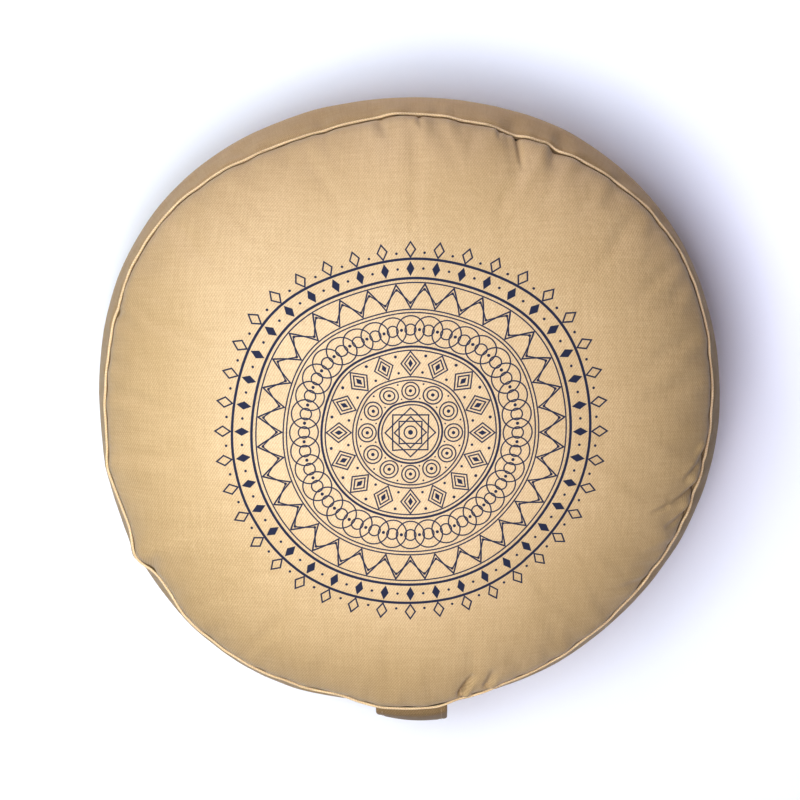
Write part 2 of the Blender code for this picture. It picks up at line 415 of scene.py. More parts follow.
def add(tree, kind, inputs=(), **settings):
    """Adds a node with its settings, links or sets its inputs, and gives back its first output."""
    made = tree.nodes.new(kind)
    for name, value in settings.items():
        setattr(made, name, value)
    sockets = [socket for socket in made.inputs if socket.enabled]
    named = {socket.name: socket for socket in reversed(sockets)}
    wires = inputs.items() if isinstance(inputs, dict) else zip(sockets, inputs)
    for key, value in wires:
        socket = named[key] if isinstance(key, str) else key
        if isinstance(value, bpy.types.NodeSocket):
            tree.links.new(value, socket)
        else:
            socket.default_value = value
    return next((socket for socket in made.outputs if socket.enabled), made)


def cotton_twill(name, ground, shade, fleck, printed=None, painted_shade=True, hairiness=HAIRINESS):
    """Cotton twill: a matt, slightly hairy cloth with fine slanted ribs and uneven yarn.

    printed is a function that draws ink on the cloth, and gives back how much lies at each point.
    With painted_shade, shade is painted into the colour where other cloth lies against it.
    hairiness is the share of pale sheen that loose fibre ends give it.
    """
    material = bpy.data.materials.new(name)
    material.use_nodes = True
    tree = material.node_tree
    shader = tree.nodes["Principled BSDF"]
    cloth = add(tree, "ShaderNodeUVMap", uv_map="cloth")

    uneven = []
    for scale, detail in ((SWELLS, 2.0), (CRUMPLES, 2.0), (CLOUDS, 3.0)):
        grain = {"Vector": cloth, "Scale": scale, "Detail": detail}
        uneven.append(add(tree, "ShaderNodeTexNoise", grain, noise_dimensions="2D"))
    swell, crumple, cloud = uneven

    ribs = []
    for angle, pitch in RIB_SETS:
        across = (-math.sin(angle) * math.tau / pitch, math.cos(angle) * math.tau / pitch, 0.0)
        turn = add(tree, "ShaderNodeVectorMath", [cloth, across], operation="DOT_PRODUCT")
        turn = add(tree, "ShaderNodeMath", [swell, RIB_WANDER, turn], operation="MULTIPLY_ADD")
        wave = add(tree, "ShaderNodeMath", [turn], operation="SINE")
        ribs.append(add(tree, "ShaderNodeMath", [wave, 0.5, 0.5], operation="MULTIPLY_ADD"))
    broken = add(tree, "ShaderNodeMath", [ribs[1], 0.5, 0.5], operation="MULTIPLY_ADD")
    weave = add(tree, "ShaderNodeMath", [ribs[0], broken], operation="MULTIPLY")

    # Uneven yarn: long thin streaks along the warp and the weft
    streaks = []
    for stretch in YARN_STREAKS:
        yarn = add(tree, "ShaderNodeVectorMath", [cloth, stretch], operation="MULTIPLY")
        grain = {"Vector": yarn, "Scale": 1.0, "Detail": 1.0}
        streaks.append(add(tree, "ShaderNodeTexNoise", grain, noise_dimensions="2D"))
    yarn = add(tree, "ShaderNodeMath", streaks, operation="ADD")

    # Fuzz: short pale fibre ends that follow the ribs
    lie = {"Vector": cloth, "Angle": -TWILL_ANGLE}
    lie = add(tree, "ShaderNodeVectorRotate", lie, rotation_type="Z_AXIS")
    lie = add(tree, "ShaderNodeVectorMath", [lie, FUZZ_SCALE], operation="MULTIPLY")
    grain = {"Vector": lie, "Scale": 1.0, "Detail": 2.0, "Roughness": 0.7}
    fuzz = add(tree, "ShaderNodeTexNoise", grain, noise_dimensions="2D")
    few, many = FUZZ_SPREAD
    fuzz = {"Value": fuzz, "From Min": few, "From Max": many, "To Max": FUZZ_COVER}
    fuzz = add(tree, "ShaderNodeMapRange", fuzz)

    tone = 0.0
    for pattern, share in ((weave, WEAVE_TONE), (yarn, YARN_TONE), (cloud, CLOUD_TONE)):
        tone = add(tree, "ShaderNodeMath", [pattern, share, tone], operation="MULTIPLY_ADD")
    dark, light = TONE_SPREAD
    tone = add(tree, "ShaderNodeMapRange", {"Value": tone, "From Min": dark, "From Max": light})
    dyed = {"Factor": tone, "A": linear(shade), "B": linear(ground)}
    colour = add(tree, "ShaderNodeMix", dyed, data_type="RGBA")
    hairy = {"Factor": fuzz, "A": colour, "B": linear(fleck)}
    colour = add(tree, "ShaderNodeMix", hairy, data_type="RGBA")
    shader.inputs["Specular IOR Level"].default_value = CLOTH_SHINE
    if printed:
        drawn = printed(tree, cloth)
        ink = add(tree, "ShaderNodeMath", [drawn, INK_COVER], operation="MULTIPLY")
        shine = {"Value": drawn, "To Min": PRESSED_SHINE, "To Max": INK_SHINE}
        shine = add(tree, "ShaderNodeMapRange", shine)
        tree.links.new(shine, shader.inputs["Specular IOR Level"])
        inked = {"Factor": ink, "A": colour, "B": linear(NAVY)}
        colour = add(tree, "ShaderNodeMix", inked, data_type="RGBA")
    # Painted shade: ambient occlusion darkens the colour where other cloth lies near, in seams and
    # creases.
    if painted_shade:
        open_sky = add(tree, "ShaderNodeAmbientOcclusion", {"Distance": PAINTED_SHADE_REACH}, samples=8)
        closed, clear = PAINTED_SHADE_SPREAD
        open_sky = {"Value": open_sky.node.outputs["AO"], "From Min": closed, "From Max": clear}
        open_sky = add(tree, "ShaderNodeMapRange", open_sky)
        deep = tuple(PAINTED_SHADE_DARKNESS * part for part in linear(shade)[:3]) + (1.0,)
        shades = {"Factor": open_sky, "A": deep, "B": colour}
        colour = add(tree, "ShaderNodeMix", shades, data_type="RGBA")
    tree.links.new(colour, shader.inputs["Base Color"])

    relief = weave
    heights = (
        (yarn, YARN_RELIEF),
        (crumple, CRUMPLE_RELIEF),
        (swell, SWELL_RELIEF),
        (fuzz, FUZZ_RELIEF),
    )
    for pattern, height in heights:
        relief = add(tree, "ShaderNodeMath", [pattern, height, relief], operation="MULTIPLY_ADD")
    raised = {"Height": relief, "Strength": 0.55, "Distance": TWILL_RELIEF}
    tree.links.new(add(tree, "ShaderNodeBump", raised), shader.inputs["Normal"])
    shader.inputs["Roughness"].default_value = 0.5
    shader.inputs["Sheen Weight"].default_value = hairiness
    shader.inputs["Sheen Roughness"].default_value = 0.45
    return material


def place_along(points):
    """How far along a row of points each one is."""
    steps = np.linalg.norm(np.diff(points, axis=0), axis=-1)
    return np.concatenate([[0.0], np.cumsum(steps)])


def band_points(rings, columns):
    """The side band's rings, from the top seam down to the bottom one."""
    share = 0.5 - 0.5 * np.cos(np.pi * np.arange(rings + 1) / rings)
    height = TOP_SEAM_HEIGHT + (BOTTOM_SEAM_HEIGHT - TOP_SEAM_HEIGHT) * share
    radius = SEAM_RADIUS + BAND_BULGE * band_fullness(height)
    angle = math.tau * np.arange(columns) / columns
    return radius[:, None], height[:, None], angle[None, :]


sand_twill = cotton_twill("sand cotton twill", SAND, SAND_SHADE, SAND_FLECK)

trial_places = settled(*band_points(TRIAL_BAND_RINGS, TRIAL_COLUMNS), groove=0.0)
trial_share = np.linspace(0.0, 1.0, TRIAL_BAND_RINGS + 1)[:, None]
at_seams = (trial_share == 0.0) | (trial_share == 1.0)
band_taut = 1.0 - np.abs(2.0 * trial_share - 1.0)
band_moves = pushed_out(trial_places, np.where(at_seams, 1.0, 0.0), band_taut, BAND_SWELL)

radius, height, angle = band_points(BAND_RINGS, BAND_COLUMNS)
ring_place = np.linspace(0.0, TRIAL_BAND_RINGS, BAND_RINGS + 1)[:, None]
band = settled(radius, height, angle) + between(band_moves, ring_place, angle)
band_rings = [
    *reversed(turned_in(band[0], -ALLOWANCE_SPREAD)),
    *band,
    *turned_in(band[-1], ALLOWANCE_SPREAD),
]
down = place_along(np.array([ring[0] for ring in band_rings]))
around = math.tau * SEAM_RADIUS * np.linspace(0.0, 1.0, BAND_COLUMNS + 1)
band_flat = [np.stack([around, np.full_like(around, -depth)], axis=-1) for depth in down]
side_band = cloth_piece("side_band", band_rings, band_flat, strips=3)
side_band.data.materials.append(sand_twill)
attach(side_band, "root")


# --- Top panel -----------------------------------------------------------------------------------
# A round of the same twill, printed in navy before it was cut out. Stuffed, it crowns in the
# middle and rolls over to its seam, where the cloth eased in round the curve shows as creases.

CROWN_RISE = 45 * MM  # the middle of the panel, above its seam
DOME_FLATNESS = 3.2  # a higher power keeps more of the panel level
DOME_SHOULDER = 0.75  # a lower power makes it drop faster to its seam
TRIAL_PANEL_RINGS = 36
TRIAL_PANEL_START = 10 * MM
PANEL_SWELL = 2 * MM
PANEL_SWELL_KEPT = 0.5  # the hulls settle, and half of what is uneven is left

# Zones of the mesh, finer towards the seam: first radius in mm, rings and columns
PANEL_ZONES = ((2, 3, 45), (6, 4, 90), (12, 7, 180), (26, 14, 360), (56, 24, 720), (108, 48, 1440))
PANEL_ZONE_EASE = 1.35  # how much closer the outermost rings lie towards the seam
PROFILE_STEPS = 600

# Creases with a sharp bottom: points on the way as degrees and mm inside the seam, then depth and
# half width in mm
CREASES = (
    (((68.9, 0.5), (67.2, 7.0), (64.6, 19.0)), 2.4, 1.3),
    (((71.8, 0.5), (71.6, 3.0), (71.3, 7.0)), 1.6, 1.3),
    (((87.8, 0.5), (87.5, 3.0), (87.2, 8.0)), 1.6, 1.6),
    (((60.6, 0.5), (60.2, 5.0), (59.4, 13.0)), 1.6, 2.6),
    (((79.5, 0.5), (79.0, 6.0), (78.5, 14.0)), 0.9, 3.2),
    (((95.5, 0.5), (95.0, 5.0), (94.5, 12.0)), 1.0, 2.8),
    (((-6.0, 0.5), (-8.6, 3.0), (-11.5, 6.5)), 2.8, 1.4),
    (((-10.6, 4.5), (-12.6, 8.5), (-14.6, 12.0)), 1.6, 1.5),
    (((-12.6, 0.5), (-16.4, 6.0), (-19.6, 14.0)), 3.4, 1.5),
    (((-19.8, 14.0), (-21.2, 18.5), (-22.6, 23.0)), 1.3, 1.4),
    (((-17.6, 0.5), (-21.2, 4.0), (-24.6, 11.0)), 3.0, 1.5),
    (((-26.0, 0.5), (-29.5, 7.0), (-32.0, 15.0)), 1.0, 2.8),
    (((-34.6, 0.5), (-38.0, 7.0), (-41.0, 15.0)), 1.3, 2.2),
    (((-79.6, 0.5), (-78.4, 6.0), (-75.6, 14.0)), 4.6, 1.5),
    (((-74.4, 2.0), (-73.0, 7.0), (-71.4, 14.0)), 3.0, 2.0),
    (((162.4, 0.5), (161.6, 2.5), (160.4, 6.0)), 1.2, 1.3),
    (((213.0, 0.5), (211.5, 5.0), (209.0, 12.0)), 1.4, 2.8),
)
CREASE_STEPS = 15
CREASE_REACH = 6.0  # how far aside a crease is worked out, in its half widths
CREASE_START = 5.0  # a higher number gives it its full depth sooner
CREASE_FADE = 0.7
CREASE_LIP = 0.45  # the cloth stands up on one side of a crease, as a share of its depth
CREASE_LIP_PLACE = 2.2  # in half widths of the crease
CREASE_LIP_WIDTH = 1.5

# The print: a ruled rosette, screen printed. All its sizes are in mm on the flat cloth.
NAVY = "#1F2840"
INK_COVER = 0.97  # the weave shows a little through the ink
INK_BLEED = 0.12
INK_SHINE = 0.05  # pigment ink is matt beside the cloth
PRESSED_SHINE = 0.5  # the cloth is pressed flat for printing, which leaves it smoother
PRINT_MIDDLE = (2.0, -8.0, 0.0)
PRINT_RINGS = (  # radius, line
    (0.0, 2.6),
    (3.4, 0.7),
    (15.0, 0.7),
    (16.8, 1.0),
    (28.6, 0.7),
    (30.4, 0.7),
    (45.0, 0.7),
    (47.0, 1.2),
    (65.6, 0.7),
    (67.4, 0.7),
    (82.0, 0.7),
    (84.4, 1.4),
    (95.0, 1.4),
)
PRINT_SQUARES = (  # half side, line, turn in degrees
    (9.4, 0.7, 0),
    (9.4, 0.7, 45),
    (6.0, 0.7, 0),
    (6.0, 0.7, 45),
)
PRINT_CIRCLES = (  # how many, on which radius, their own radius, line, turn as a share of one
    (12, 22.7, 4.7, 0.7, 0.0),
    (12, 22.7, 2.8, 0.7, 0.0),
    (12, 22.7, 0.0, 1.8, 0.0),
    (12, 27.0, 0.0, 1.0, 0.5),
    (12, 18.8, 0.0, 0.9, 0.5),
    (16, 33.2, 0.0, 1.4, 0.5),
    (16, 42.4, 0.0, 1.6, 0.5),
    (18, 56.3, 7.6, 0.7, 0.0),
    (18, 56.3, 7.6, 0.7, 0.5),
    (36, 56.3, 0.0, 1.7, 0.5),
    (18, 56.3, 3.0, 0.7, 0.0),
    (18, 56.3, 3.0, 0.7, 0.5),
    (32, 71.0, 0.0, 1.5, 0.0),
    (32, 78.4, 0.0, 1.5, 0.5),
    (40, 89.7, 0.0, 1.4, 0.5),
    (40, 98.4, 0.0, 1.4, 0.5),
)
PRINT_LOZENGES = (  # how many, on which radius, half across, half along, line or 0 if solid, turn
    (16, 37.8, 5.2, 6.6, 0.7, 0.0),
    (16, 37.8, 3.2, 4.2, 0.7, 0.0),
    (16, 37.8, 1.3, 2.3, 0.0, 0.0),
    (40, 89.7, 2.2, 4.1, 0.0, 0.0),
    (40, 100.2, 2.7, 4.2, 0.8, 0.0),
)
PRINT_ZIGZAGS = (  # how many, mean radius, half height, line
    (32, 74.7, 6.6, 0.8),
    (32, 74.7, 4.0, 0.7),
)


def rosette(tree, cloth):
    """How much ink lies at each point of the cloth, as a share."""
    to_mm = (1.0 / MM,) * 3
    middle = tuple(-part for part in PRINT_MIDDLE)
    place = add(tree, "ShaderNodeVectorMath", [cloth, to_mm, middle], operation="MULTIPLY_ADD")
    radius = add(tree, "ShaderNodeVectorMath", [place], operation="LENGTH")
    east = add(tree, "ShaderNodeSeparateXYZ", [place])
    north = east.node.outputs["Y"]
    turn = add(tree, "ShaderNodeMath", [north, east], operation="ARCTAN2")
    inks = []

    def ink(gap, line):
        """Inks where gap, in mm, is less than half a line."""
        gap = add(tree, "ShaderNodeMath", [gap], operation="ABSOLUTE")
        edges = {"From Min": 0.5 * line + INK_BLEED, "From Max": 0.5 * line - INK_BLEED}
        inks.append(add(tree, "ShaderNodeMapRange", {"Value": gap, **edges}))

    def nearest(count, share):
        """The turn from the nearest of count places round the middle."""
        half = math.pi / count
        first = add(tree, "ShaderNodeMath", [turn, -2.0 * half * share], operation="ADD")
        return add(tree, "ShaderNodeMath", [first, half, -half], operation="WRAP")

    def beside(count, ring, share):
        """Places across and along, in mm, from the nearest of count places on a ring."""
        near = nearest(count, share)
        sine = add(tree, "ShaderNodeMath", [near], operation="SINE")
        cosine = add(tree, "ShaderNodeMath", [near], operation="COSINE")
        across = add(tree, "ShaderNodeMath", [radius, sine], operation="MULTIPLY")
        along = add(tree, "ShaderNodeMath", [radius, cosine, -ring], operation="MULTIPLY_ADD")
        return across, along

    for ring, line in PRINT_RINGS:
        ink(add(tree, "ShaderNodeMath", [radius, ring], operation="SUBTRACT"), line)
    for half, line, degrees in PRINT_SQUARES:
        spun = {"Vector": place, "Angle": math.radians(degrees)}
        spun = add(tree, "ShaderNodeVectorRotate", spun, rotation_type="Z_AXIS")
        spun = add(tree, "ShaderNodeVectorMath", [spun], operation="ABSOLUTE")
        side = add(tree, "ShaderNodeSeparateXYZ", [spun])
        other = side.node.outputs["Y"]
        edge = add(tree, "ShaderNodeMath", [side, other], operation="MAXIMUM")
        ink(add(tree, "ShaderNodeMath", [edge, half], operation="SUBTRACT"), line)
    for count, ring, own, line, share in PRINT_CIRCLES:
        across, along = beside(count, ring, share)
        away = add(tree, "ShaderNodeCombineXYZ", [across, along])
        away = add(tree, "ShaderNodeVectorMath", [away], operation="LENGTH")
        ink(add(tree, "ShaderNodeMath", [away, own], operation="SUBTRACT"), line)
    for count, ring, half_across, half_along, line, share in PRINT_LOZENGES:
        across, along = beside(count, ring, share)
        slant = math.hypot(half_across, half_along)
        across = add(tree, "ShaderNodeMath", [across], operation="ABSOLUTE")
        along = add(tree, "ShaderNodeMath", [along], operation="ABSOLUTE")
        across = add(tree, "ShaderNodeMath", [across, half_along / slant], operation="MULTIPLY")
        gap = [along, half_across / slant, across]
        gap = add(tree, "ShaderNodeMath", gap, operation="MULTIPLY_ADD")
        size = half_across * half_along / slant
        if line:
            gap = add(tree, "ShaderNodeMath", [gap, size], operation="SUBTRACT")
        ink(gap, line or 2.0 * size)
    for count, ring, half, line in PRINT_ZIGZAGS:
        near = add(tree, "ShaderNodeMath", [nearest(count, 0.0)], operation="ABSOLUTE")
        climb = 2.0 * half * count / math.pi
        middle_line = [near, climb, ring - half]
        middle_line = add(tree, "ShaderNodeMath", middle_line, operation="MULTIPLY_ADD")
        gap = add(tree, "ShaderNodeMath", [radius, middle_line], operation="SUBTRACT")
        level = 1.0 / math.hypot(1.0, climb / ring)
        ink(add(tree, "ShaderNodeMath", [gap, level], operation="MULTIPLY"), line)

    found = inks[0]
    for more in inks[1:]:
        found = add(tree, "ShaderNodeMath", [found, more], operation="MAXIMUM")
    return found


def panel_height(radius):
    """Height of the crowned top panel at a radius of the even turned form."""
    share = np.clip(radius / SEAM_RADIUS, 0.0, 1.0)
    return TOP_SEAM_HEIGHT + CROWN_RISE * (1.0 - share**DOME_FLATNESS) ** DOME_SHOULDER


def crease_depth(spot):
    """How deep the creases are at each point, less where the cloth stands up beside them."""
    depth = np.zeros(spot.shape[:-1])
    for way, deepest, half_width in CREASES:
        first, middle, last = (seam_place(*step) for step in way)
        bend = 2.0 * middle - 0.5 * (first + last)
        share = np.linspace(0.0, 1.0, CREASE_STEPS)[:, None]
        line = (1 - share) ** 2 * first + 2 * share * (1 - share) * bend + share**2 * last
        reach = CREASE_REACH * half_width * MM
        level = spot[..., :2]
        near = (level > line.min(axis=0) - reach) & (level < line.max(axis=0) + reach)
        near = near.all(axis=-1)
        away = spot[near][:, None, :2] - line[None, :-1]
        run = np.diff(line, axis=0)[None]
        length = np.linalg.norm(run, axis=-1)
        along = np.clip((away * run).sum(-1) / length**2, 0.0, 1.0)
        off = away - along[..., None] * run
        aside = (away[..., 0] * run[..., 1] - away[..., 1] * run[..., 0]) / length
        gap = np.linalg.norm(off, axis=-1)
        nearest = gap.argmin(axis=1)
        pick = (np.arange(len(nearest)), nearest)
        side = gap[pick] * np.sign(aside[pick]) / (half_width * MM)
        share = (nearest + along[pick]) / (len(line) - 1)
        fade = np.minimum(1.0, CREASE_START * share) * (1.0 - share) ** CREASE_FADE
        lip = np.exp(-(((side - CREASE_LIP_PLACE) / CREASE_LIP_WIDTH) ** 2))
        fold = np.exp(-(side**2)) - CREASE_LIP * lip
        depth[near] += deepest * MM * fade * fold
    return depth


def seam_place(degrees, inside):
    """A place on the top panel, by its direction and how many mm it lies inside the seam."""
    angle = math.radians(degrees)
    radius = SEAM_RADIUS + outline(SEAM_OUTLINE, angle) - inside * MM
    return radius * np.array([math.cos(angle), math.sin(angle)])


def panel_rings(zones):
    """Radius and number of columns of each ring, from the middle out to the seam."""
    ends = [first for first, rings, columns in zones[1:]] + [SEAM_RADIUS / MM]
    for (first, rings, columns), end in zip(zones, ends):
        ease = PANEL_ZONE_EASE if end == ends[-1] else 1.0
        for ring in range(rings):
            yield (end - (end - first) * (1.0 - ring / rings) ** ease) * MM, columns
    yield SEAM_RADIUS, columns


def panel(name, zones, height_at, moves, spread, creased=False, inside_out=False):
    """A stuffed round panel, whose turned-in edge lies in the seam."""
    rings, flat = [], []
    fine = np.linspace(0.0, SEAM_RADIUS, PROFILE_STEPS)
    length = place_along(np.stack([fine, height_at(fine)], axis=-1))
    for radius, columns in panel_rings(zones):
        angle = math.tau * np.arange(columns) / columns
        ring = (radius - TRIAL_PANEL_START) / (SEAM_RADIUS - TRIAL_PANEL_START)
        ring = np.full(columns, max(0.0, ring) * TRIAL_PANEL_RINGS)
        spots = settled(radius, height_at(np.array(radius)), angle)
        spots = spots + between(moves, ring, angle)
        if creased:
            spots = spots - outward(spots) * crease_depth(spots)[:, None]
        rings.append(spots)
        around = math.tau * np.arange(columns + 1) / columns
        reach = np.interp(radius, fine, length)
        flat.append(reach * np.stack([np.cos(around), np.sin(around)], axis=-1))
    for step, ring in zip(ALLOWANCE_STEPS, turned_in(rings[-1], spread)):
        rings.append(ring)
        flat.append(flat[-1] * (reach + step) / np.linalg.norm(flat[-1][0]))
    return cloth_piece(name, rings, flat, capped=(0,), inside_out=inside_out)


trial_radius = np.linspace(TRIAL_PANEL_START, SEAM_RADIUS, TRIAL_PANEL_RINGS + 1)[:, None]
trial_angle = math.tau * np.arange(TRIAL_COLUMNS)[None, :] / TRIAL_COLUMNS
trial_places = settled(trial_radius, panel_height(trial_radius), trial_angle, groove=0.0)
panel_held = (trial_radius == SEAM_RADIUS) | (trial_radius == TRIAL_PANEL_START)
panel_taut = 1.0 - (trial_radius / SEAM_RADIUS) ** 6
panel_moves = pushed_out(trial_places, np.where(panel_held, 1.0, 0.0), panel_taut, PANEL_SWELL)
panel_moves = PANEL_SWELL_KEPT * panel_moves

top_panel = panel(
    "top_panel", PANEL_ZONES, panel_height, panel_moves, ALLOWANCE_SPREAD, creased=True
)
printed_twill = cotton_twill("printed sand cotton twill", SAND, SAND_SHADE, SAND_FLECK, rosette)
top_panel.data.materials.append(printed_twill)
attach(top_panel, "root")
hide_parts("cushion")


# --- Top piping ----------------------------------------------------------------------------------
# A thin cotton cord in a bias-cut strip of paler twill, sewn in between the band and the top panel.
# It stands up in the groove of the seam all the way round.

PIPING_RADIUS = 0.75 * MM
PIPING_SINK = 0.1 * MM  # how far it sits down in the groove
PIPING_COLUMNS = 1200
PIPING_SIDES = 14
PIPING_CREAM = "#DCC39C"
PIPING_SHADE = "#C9AD83"
PIPING_FLECK = "#F0DCBC"
PIPING_HAIRINESS = 0.4  # cut on the bias, the cloth frays a little and catches the light


def piping(name, seam_height):
    """A covered cord round one seam."""
    angle = math.tau * np.arange(PIPING_COLUMNS) / PIPING_COLUMNS
    seam = settled(SEAM_RADIUS, seam_height, angle, groove=0.0)
    up = outward(seam)
    middle = seam + up * (PIPING_RADIUS - PIPING_SINK)
    run = np.roll(middle, -1, axis=0) - np.roll(middle, 1, axis=0)
    run = run / np.linalg.norm(run, axis=-1, keepdims=True)
    up = up - run * (up * run).sum(axis=-1, keepdims=True)
    up = up / np.linalg.norm(up, axis=-1, keepdims=True)
    side = np.cross(run, up)
    length = place_along(np.concatenate([middle, middle[:1]]))
    rings, flat = [], []
    for turn in math.tau * np.arange(PIPING_SIDES + 1) / PIPING_SIDES:
        rings.append(middle + PIPING_RADIUS * (math.cos(turn) * up + math.sin(turn) * side))
        flat.append(np.stack([length, np.full_like(length, turn * PIPING_RADIUS)], axis=-1))
    return cloth_piece(name, rings[:-1], flat, strips=12, closed=True)


piping_twill = cotton_twill(
    "bias cotton twill",
    PIPING_CREAM,
    PIPING_SHADE,
    PIPING_FLECK,
    painted_shade=False,
    hairiness=PIPING_HAIRINESS,
)
top_piping = piping("top_seam_piping", TOP_SEAM_HEIGHT)
top_piping.data.materials.append(piping_twill)
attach(top_piping, "root")
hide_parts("top_piping")


# --- Bottom panel --------------------------------------------------------------------------------
# A plain round of the same twill. The cushion's own weight presses it flat on the floor, and from
# there it rises in easy folds to its seam.

FOOT_RADIUS = 120 * MM  # the flat round that the cushion rests on
FOOT_CURVE = 2.2
UNDER_ZONES = ((2, 3, 45), (6, 4, 90), (12, 6, 180), (26, 10, 360), (56, 40, 720))


def under_height(radius):
    """Height of the bottom panel at a radius of the even turned form."""
    share = np.clip((radius - FOOT_RADIUS) / (SEAM_RADIUS - FOOT_RADIUS), 0.0, 1.0)
    return BOTTOM_SEAM_HEIGHT * share**FOOT_CURVE


no_moves = np.zeros((1, 1, 3))  # the floor lets it swell nowhere
bottom_panel = panel(
    "bottom_panel", UNDER_ZONES, under_height, no_moves, -ALLOWANCE_SPREAD, inside_out=True
)
bottom_panel.data.materials.append(sand_twill)
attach(bottom_panel, "root")


# --- Bottom piping -------------------------------------------------------------------------------
# The same covered cord, sewn in between the band and the bottom panel.

bottom_piping = piping("bottom_seam_piping", BOTTOM_SEAM_HEIGHT)
bottom_piping.data.materials.append(piping_twill)
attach(bottom_piping, "root")
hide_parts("bottom_piping")


# --- Handle --------------------------------------------------------------------------------------
# A strap of two layers of taupe twill, topstitched along both edges and sewn into both seams. It
# bows off the band between them, so that a hand goes behind it.

STRAP_WIDTH = 40 * MM
STRAP_THICKNESS = 2.5 * MM
STRAP_STANDOFF = 10.3 * MM  # how far the strap bows off the band, at its middle
STRAP_ROUNDNESS = 0.9
STRAP_CLEARANCE = 0.3 * MM
STRAP_TOP = TOP_SEAM_HEIGHT - 1.2 * MM  # its ends lie under the piping
STRAP_BOTTOM = BOTTOM_SEAM_HEIGHT + 1.2 * MM
STRAP_TUCK = 2.2 * MM  # how far the ends go in between the piping and the band
STRAP_TUCK_REACH = 0.03
STRAP_EDGE_CURL = 5.5 * MM  # the edge at -X lies closer to the band
STRAP_EDGE_CURL_START = -0.4
STRAP_EDGE_ROUNDING = 22  # a higher power gives the edges a tighter round
STRAP_ROWS = 90
STRAP_COLUMNS = 30
STITCH_INSET = 3.5 * MM
STITCH_GROOVE = 0.4 * MM
STITCH_GROOVE_WIDTH = 0.9 * MM
STITCH_PITCH = 3.4 * MM
THREAD_RADIUS = 0.28 * MM
THREAD_RELIEF = 0.1 * THREAD_RADIUS
THREAD_SIDES = 6
STITCH_RINGS = 6
STITCH_SHOWS = (0.1, 0.9)  # the part of each pitch where the thread is on top
STITCH_ARCH = 1.5  # how high its middle stands, in radii of the thread
STITCH_END = 0.35  # how thick it is at its ends, as a share of its middle
BESIDE_STITCH = 0.02
THREAD_CREAM = "#BFA47F"
THREAD_TWIST = 550.0  # turns of its twist in a metre
STRAP_TAUPE = "#9A8160"
STRAP_SHADE = "#856F4F"
STRAP_FLECK = "#AE9776"


def strap_middle(across, along):
    """The middle of the strap's thickness: across from -1 to 1, along from the top, 0, to 1."""
    height = STRAP_TOP + (STRAP_BOTTOM - STRAP_TOP) * along
    bow = np.sin(np.pi * np.clip(along, 0.0, 1.0)) ** STRAP_ROUNDNESS
    curl = np.maximum(0.0, -across - STRAP_EDGE_CURL_START) / (1.0 - STRAP_EDGE_CURL_START)
    stand = (STRAP_STANDOFF - STRAP_EDGE_CURL * curl**2) * bow
    end = np.exp(-(((0.5 - np.abs(along - 0.5)) / STRAP_TUCK_REACH) ** 2))
    gap = 0.5 * STRAP_THICKNESS + STRAP_CLEARANCE + stand - STRAP_TUCK * end
    wall_radius = SEAM_RADIUS + BAND_BULGE * band_fullness(height)
    wall = settled(wall_radius, height, STRAP_ANGLE, groove=0.0)
    turn = across * 0.5 * STRAP_WIDTH / (np.hypot(wall[..., 0], wall[..., 1]) + gap)
    wall = settled(wall_radius, height, STRAP_ANGLE + turn, groove=0.0)
    level = wall * (1.0, 1.0, 0.0)
    level = level / np.linalg.norm(level, axis=-1, keepdims=True)
    return wall + level * gap[..., None]


def joined_threads(name, threads):
    """One mesh of many short closed lengths of thread, each given as its rings of points."""
    corners, faces = [], []
    for rings in threads:
        count, sides = rings.shape[:2]
        spots = len(corners) + np.arange(count * sides).reshape(count, sides)
        beside = np.roll(spots, -1, axis=1)
        quads = np.stack([spots[:-1], beside[:-1], beside[1:], spots[1:]], axis=-1)
        faces += quads.reshape(-1, 4).tolist()
        faces += [spots[0][::-1].tolist(), spots[-1].tolist()]
        corners += rings.reshape(-1, 3).tolist()
    mesh = bpy.data.meshes.new(name)
    mesh.from_pydata(corners, [], faces)
    mesh.shade_smooth()
    piece = bpy.data.objects.new(name, mesh)
    bpy.context.scene.collection.objects.link(piece)
    return piece


def cotton_thread(name, colour):
    """Spun cotton sewing thread: matt, with the slant of its twist as fine bands across it."""
    material = bpy.data.materials.new(name)
    material.use_nodes = True
    tree = material.node_tree
    shader = tree.nodes["Principled BSDF"]
    place = add(tree, "ShaderNodeTexCoord").node.outputs["Object"]
    twist = {"Vector": place, "Scale": THREAD_TWIST, "Distortion": 0.6}
    twist = add(tree, "ShaderNodeTexWave", twist, bands_direction="DIAGONAL")
    factor = twist.node.outputs["Fac"]
    shades = {"Factor": factor, "A": linear(STRAP_SHADE), "B": linear(colour)}
    shaded = add(tree, "ShaderNodeMix", shades, data_type="RGBA")
    tree.links.new(shaded, shader.inputs["Base Color"])
    raised = {"Height": factor, "Strength": 0.6, "Distance": THREAD_RELIEF}
    tree.links.new(add(tree, "ShaderNodeBump", raised), shader.inputs["Normal"])
    shader.inputs["Roughness"].default_value = 0.7
    shader.inputs["Sheen Weight"].default_value = 0.2
    return material


across = np.sin(np.linspace(-0.5, 0.5, STRAP_COLUMNS) * math.pi)
along = 0.5 - 0.5 * np.cos(np.linspace(0.0, 1.0, STRAP_ROWS) * math.pi)
strap = strap_middle(across[None, :], along[:, None])
run_down, run_across = np.gradient(strap, axis=(0, 1))
facing = np.cross(run_down, run_across)
facing = facing / np.linalg.norm(facing, axis=-1, keepdims=True)
half = 0.5 * STRAP_THICKNESS * np.sqrt(1.0 - np.abs(across) ** STRAP_EDGE_ROUNDING)
stitch_line = 1.0 - STITCH_INSET / (0.5 * STRAP_WIDTH)
off_line = (np.abs(across) - stitch_line) * 0.5 * STRAP_WIDTH / STITCH_GROOVE_WIDTH
half = (half - STITCH_GROOVE * np.exp(-(off_line**2)))[None, :, None]
strap_rings = np.concatenate(
    [strap + facing * half, (strap - facing * half)[:, -2:0:-1]],
    axis=1,
)
strap_down = place_along(strap[:, STRAP_COLUMNS // 2])
